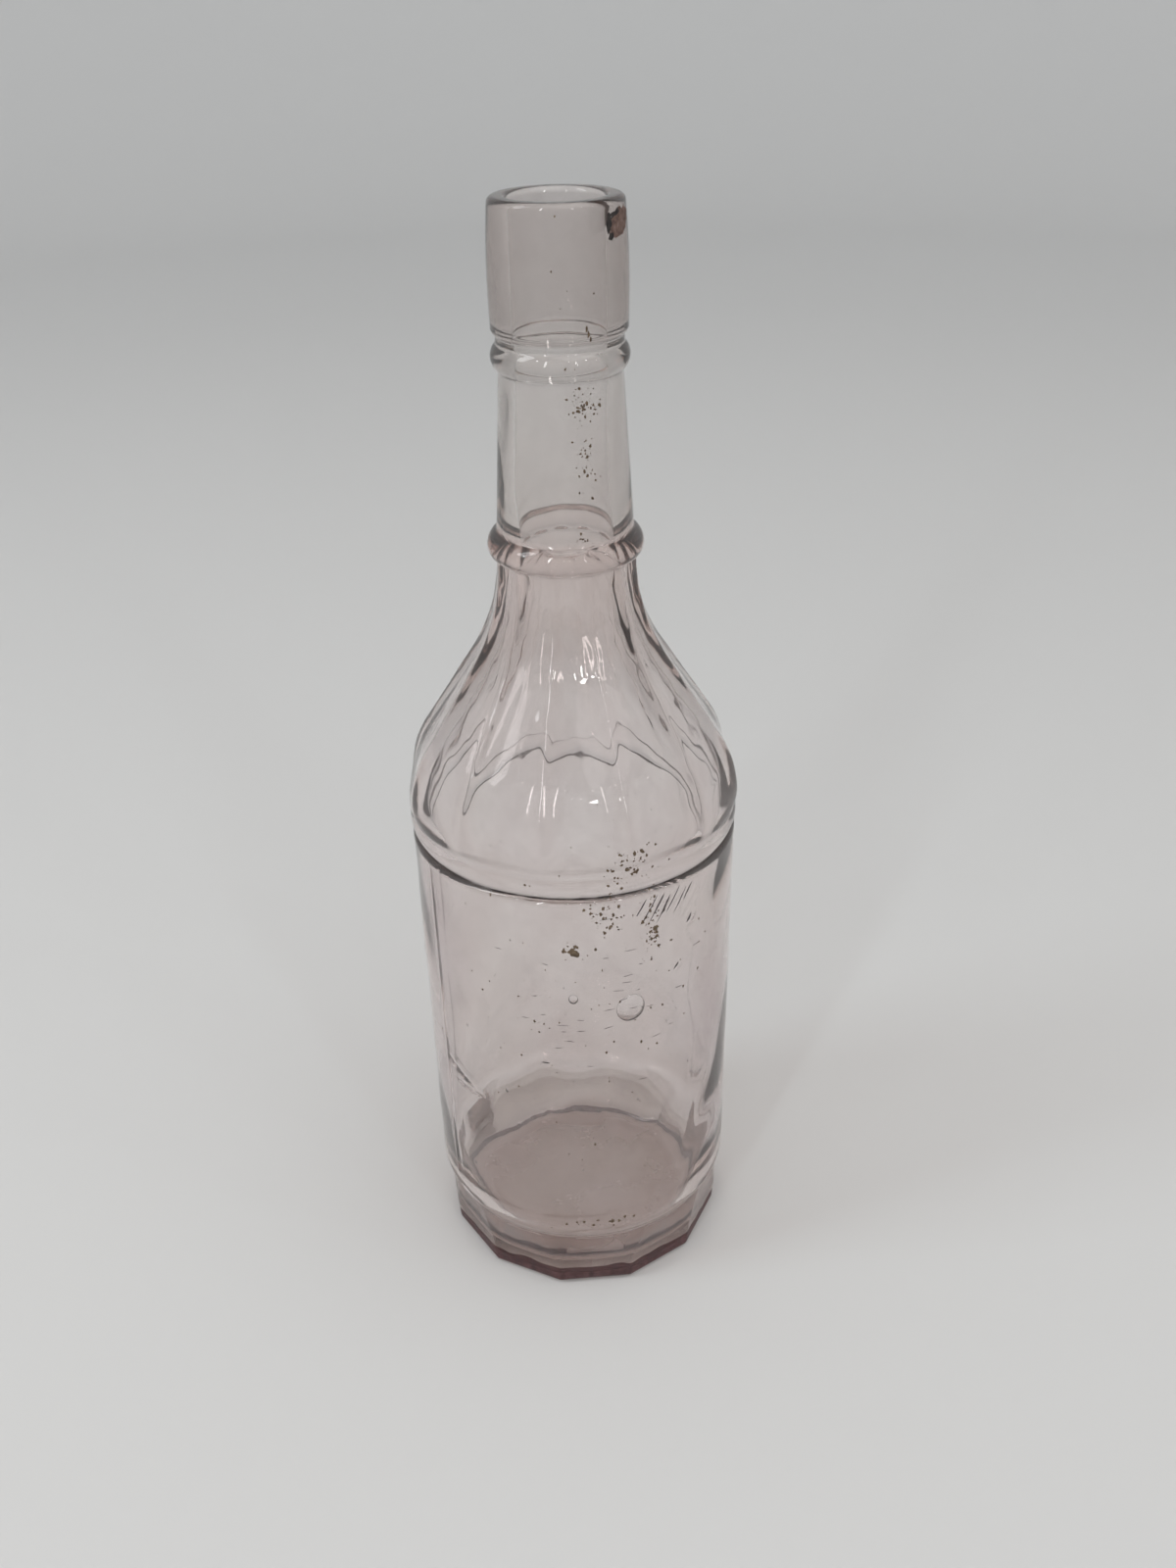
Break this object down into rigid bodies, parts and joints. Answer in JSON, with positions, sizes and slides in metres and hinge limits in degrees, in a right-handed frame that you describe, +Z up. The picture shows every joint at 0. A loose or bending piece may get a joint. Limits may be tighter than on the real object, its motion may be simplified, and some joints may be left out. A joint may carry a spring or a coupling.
{
  "type": "glass bottle",
  "caption": "Tall round bottle of pale sun-purpled glass with a faceted foot, plain body, fluted shoulder, ringed neck and a deep open lip for a cork.",
  "frame": {"origin": "centre of the resting plane, on the bottle's axis", "axes": "+Z up along the axis towards the mouth; the side shown in the picture faces -Y"},
  "size_m": [0.0866, 0.0866, 0.292],
  "materials": {
    "amethyst_glass": "clear fire-polished glass, sun-purpled, faint ripples and seed bubbles"
  },
  "bodies": {
    "root": {"base": "amethyst_glass", "faceted_heel": "amethyst_glass", "body": "amethyst_glass", "shoulder_bead": "amethyst_glass", "fluted_shoulder": "amethyst_glass", "lower_neck_ring": "amethyst_glass", "neck": "amethyst_glass", "upper_neck_ring": "amethyst_glass", "lip": "amethyst_glass"}
  },
  "joints": []
}
